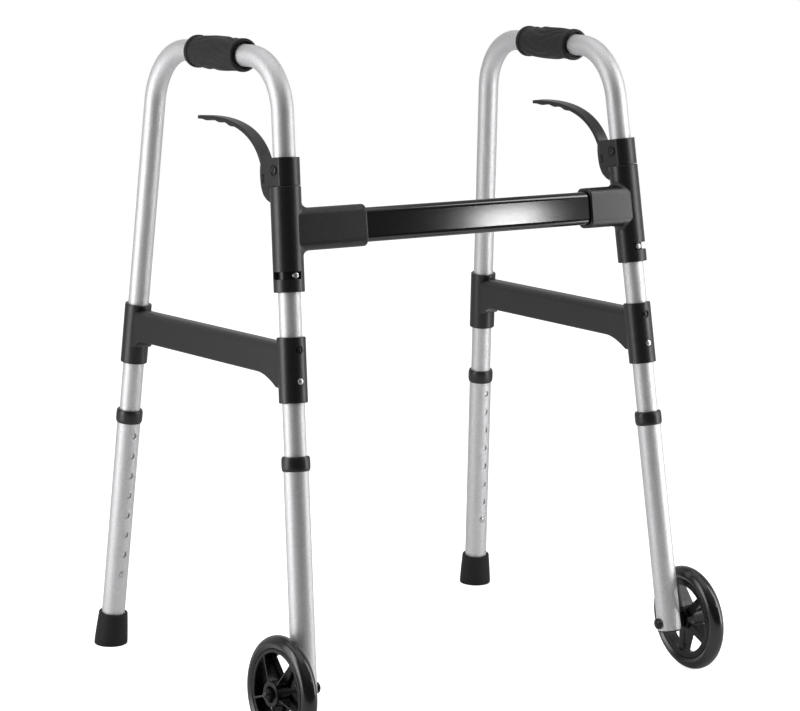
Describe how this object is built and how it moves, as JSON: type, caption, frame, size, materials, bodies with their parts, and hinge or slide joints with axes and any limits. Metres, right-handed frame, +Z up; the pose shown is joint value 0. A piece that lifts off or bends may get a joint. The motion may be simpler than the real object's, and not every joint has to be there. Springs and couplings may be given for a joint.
{
  "type": "folding two-wheeled walker",
  "caption": "Folding aluminium walker with a release lever under each hand grip, telescoping legs, side braces, a black crossbar, front wheels and rubber rear tips.",
  "frame": {"origin": "on the floor, in the middle of the footprint of the standing walker", "axes": "+Z up; -Y is the front, where the crossbar and the wheels are; the user stands towards +Y; +X is the user's left"},
  "size_m": [0.6232, 0.5218, 0.7692],
  "materials": {
    "satin_aluminium": "satin anodised",
    "grip_rubber": "matte, moulded ribs",
    "moulded_plastic": "satin moulded",
    "gloss_black": "gloss black",
    "tyre_rubber": "semi-gloss solid tyre",
    "wheel_plastic": "semi-gloss moulded",
    "tip_rubber": "matte",
    "zinc_steel": "zinc plated",
    "black_steel": "black oxide",
    "nylon": "black nylon"
  },
  "bodies": {
    "crossbar": {"crossbar": "gloss_black", "left_crossbar_rivet": "black_steel", "left_hinge_housing": "moulded_plastic", "right_crossbar_rivet": "black_steel", "right_hinge_housing": "moulded_plastic"},
    "right_frame": {"right_brace_front_rivet": "zinc_steel", "right_brace_front_screw": "black_steel", "right_brace_rear_rivet": "zinc_steel", "right_brace_rear_screw": "black_steel", "right_bracket_bolt": "black_steel", "right_frame_tube": "satin_aluminium", "right_hand_grip": "grip_rubber", "right_lever_bracket": "moulded_plastic", "right_lever_pivot_pin": "black_steel", "right_lever_spring": "zinc_steel", "right_side_brace": "moulded_plastic", "right_stop_screw": "zinc_steel"},
    "right_lever": {"right_release_lever": "moulded_plastic"},
    "right_front_leg": {"right_axle_bolt": "black_steel", "right_axle_nut": "black_steel", "right_axle_spacer": "nylon", "right_front_leg": "satin_aluminium", "right_front_leg_collar": "moulded_plastic", "right_front_leg_plug": "moulded_plastic"},
    "right_wheel": {"right_wheel_bushing": "nylon", "right_wheel_rim": "wheel_plastic", "right_wheel_tyre": "tyre_rubber"},
    "right_rear_leg": {"right_rear_leg": "satin_aluminium", "right_rear_leg_collar": "moulded_plastic", "right_rear_tip": "tip_rubber"},
    "right_front_clip": {"right_front_snap_clip": "zinc_steel"},
    "right_rear_clip": {"right_rear_snap_clip": "zinc_steel"},
    "left_frame": {"left_brace_front_rivet": "zinc_steel", "left_brace_front_screw": "black_steel", "left_brace_rear_rivet": "zinc_steel", "left_brace_rear_screw": "black_steel", "left_bracket_bolt": "black_steel", "left_frame_tube": "satin_aluminium", "left_hand_grip": "grip_rubber", "left_lever_bracket": "moulded_plastic", "left_lever_pivot_pin": "black_steel", "left_lever_spring": "zinc_steel", "left_side_brace": "moulded_plastic", "left_stop_screw": "zinc_steel"},
    "left_lever": {"left_release_lever": "moulded_plastic"},
    "left_front_leg": {"left_axle_bolt": "black_steel", "left_axle_nut": "black_steel", "left_axle_spacer": "nylon", "left_front_leg": "satin_aluminium", "left_front_leg_collar": "moulded_plastic", "left_front_leg_plug": "moulded_plastic"},
    "left_wheel": {"left_wheel_bushing": "nylon", "left_wheel_rim": "wheel_plastic", "left_wheel_tyre": "tyre_rubber"},
    "left_rear_leg": {"left_rear_leg": "satin_aluminium", "left_rear_leg_collar": "moulded_plastic", "left_rear_tip": "tip_rubber"},
    "left_front_clip": {"left_front_snap_clip": "zinc_steel"},
    "left_rear_clip": {"left_rear_snap_clip": "zinc_steel"}
  },
  "joints": [
    {"name": "right_fold", "type": "hinge", "parent": "crossbar", "child": "right_frame", "pos_m": [-0.23822, -0.11529, 0.56376], "axis": [-0.0393, -0.1592, -0.9865], "range_deg": [0, 84]},
    {"name": "right_lever_squeeze", "type": "hinge", "parent": "right_frame", "child": "right_lever", "pos_m": [-0.23687, -0.08391, 0.61835], "axis": [0.9983, 0.0366, -0.0457], "range_deg": [0, 14], "stiffness_Nm_per_rad": 0.4, "springref_deg": -17.19, "deforming": ["right_lever_spring"]},
    {"name": "right_front_leg_slide", "type": "slide", "parent": "right_frame", "child": "right_front_leg", "axis": [-0.0393, -0.1592, -0.9865], "range_m": [0, 0.1778]},
    {"name": "right_rear_leg_slide", "type": "slide", "parent": "right_frame", "child": "right_rear_leg", "axis": [-0.0484, 0.0776, -0.9958], "range_m": [0, 0.1778]},
    {"name": "right_wheel_spin", "type": "hinge", "parent": "right_front_leg", "child": "right_wheel", "pos_m": [-0.28797, -0.19733, 0.06344], "axis": [0.9983, 0.0366, -0.0457], "continuous": true},
    {"name": "right_front_button_press", "type": "slide", "parent": "right_frame", "child": "right_front_clip", "axis": [0.0434, -0.9866, 0.1575], "range_m": [0, 0.0034], "stiffness_N_per_m": 1000, "springref_m": -0.002, "deforming": ["right_front_snap_clip"]},
    {"name": "right_rear_button_press", "type": "slide", "parent": "right_frame", "child": "right_rear_clip", "axis": [-0.0329, 0.9963, 0.0792], "range_m": [0, 0.0034], "stiffness_N_per_m": 1000, "springref_m": -0.002, "deforming": ["right_rear_snap_clip"]},
    {"name": "left_fold", "type": "hinge", "parent": "crossbar", "child": "left_frame", "pos_m": [0.23822, -0.11529, 0.56376], "axis": [-0.0393, 0.1592, 0.9865], "range_deg": [0, 58]},
    {"name": "left_lever_squeeze", "type": "hinge", "parent": "left_frame", "child": "left_lever", "pos_m": [0.23687, -0.08391, 0.61835], "axis": [0.9983, -0.0366, 0.0457], "range_deg": [0, 14], "stiffness_Nm_per_rad": 0.4, "springref_deg": -17.19, "deforming": ["left_lever_spring"]},
    {"name": "left_front_leg_slide", "type": "slide", "parent": "left_frame", "child": "left_front_leg", "axis": [0.0393, -0.1592, -0.9865], "range_m": [0, 0.1778]},
    {"name": "left_rear_leg_slide", "type": "slide", "parent": "left_frame", "child": "left_rear_leg", "axis": [0.0484, 0.0776, -0.9958], "range_m": [0, 0.1778]},
    {"name": "left_wheel_spin", "type": "hinge", "parent": "left_front_leg", "child": "left_wheel", "pos_m": [0.28797, -0.19733, 0.06344], "axis": [0.9983, -0.0366, 0.0457], "continuous": true},
    {"name": "left_front_button_press", "type": "slide", "parent": "left_frame", "child": "left_front_clip", "axis": [-0.0434, -0.9866, 0.1575], "range_m": [0, 0.0034], "stiffness_N_per_m": 1000, "springref_m": -0.002, "deforming": ["left_front_snap_clip"]},
    {"name": "left_rear_button_press", "type": "slide", "parent": "left_frame", "child": "left_rear_clip", "axis": [0.0329, 0.9963, 0.0792], "range_m": [0, 0.0034], "stiffness_N_per_m": 1000, "springref_m": -0.002, "deforming": ["left_rear_snap_clip"]}
  ]
}
